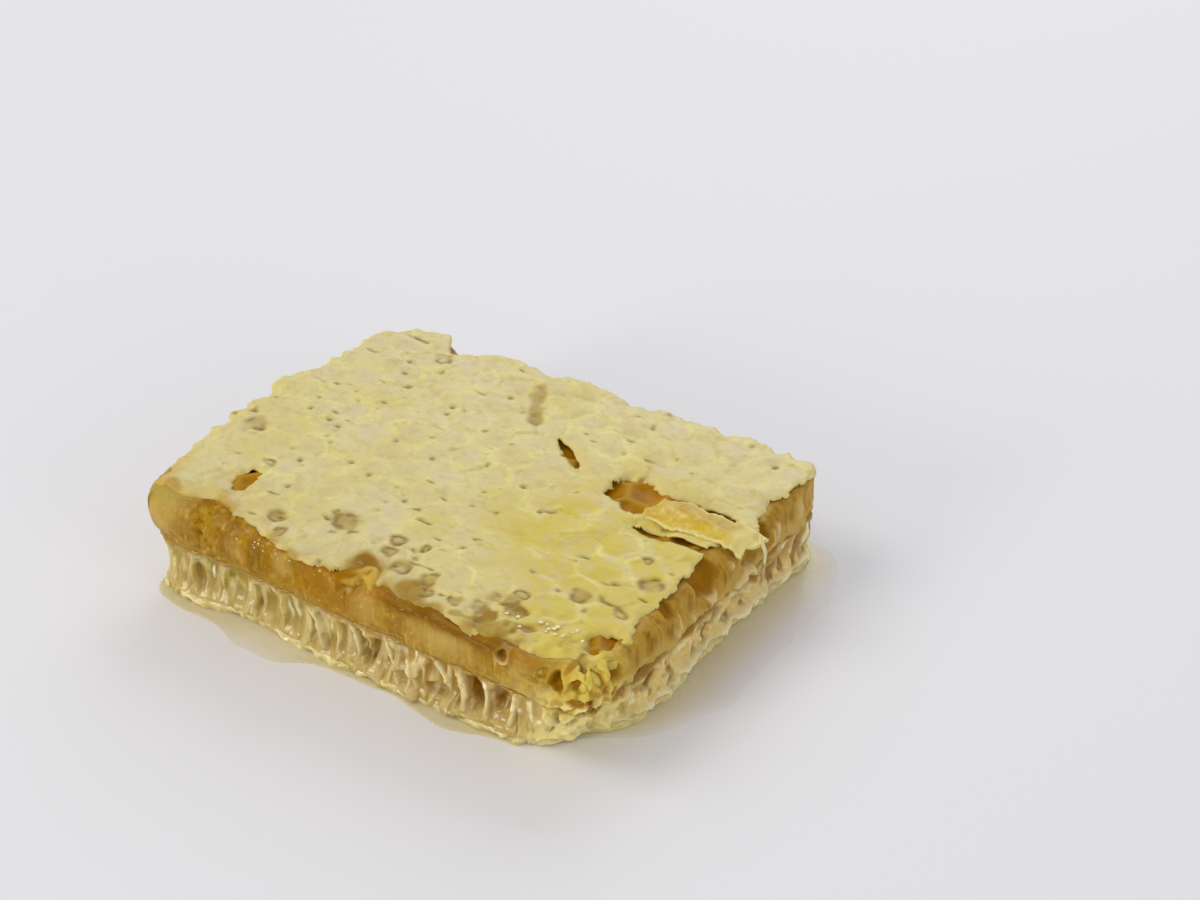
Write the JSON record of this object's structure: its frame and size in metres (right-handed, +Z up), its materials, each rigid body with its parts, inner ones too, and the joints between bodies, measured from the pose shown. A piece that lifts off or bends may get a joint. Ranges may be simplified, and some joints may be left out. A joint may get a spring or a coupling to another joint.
{
  "type": "honeycomb piece",
  "caption": "Flat cut block of comb honey: two tiers of six-sided wax cells on a midrib, cut open at the sides, with a torn wax capping on top.",
  "frame": {"origin": "centre of the block's box in plan, on the flat face that it rests on", "axes": "+X along the long side, +Y from the front cut side to the back one, +Z up out of the upper capping"},
  "size_m": [0.0826, 0.0654, 0.0187],
  "materials": {
    "capping_wax": "pale cream beeswax capping, moist and softly matte, bumpy over each cell",
    "honey": "clear amber honey over cut wax cells, wet and glossy",
    "drained_comb": "pale wax cell walls with honey standing between them, wet",
    "comb_wax": "pale cream beeswax, translucent, with a thin film of honey"
  },
  "bodies": {
    "root": {"lower_capping": "comb_wax", "lower_cells": "drained_comb", "midrib": "comb_wax", "upper_cells": "honey", "upper_capping": "capping_wax"}
  },
  "joints": []
}
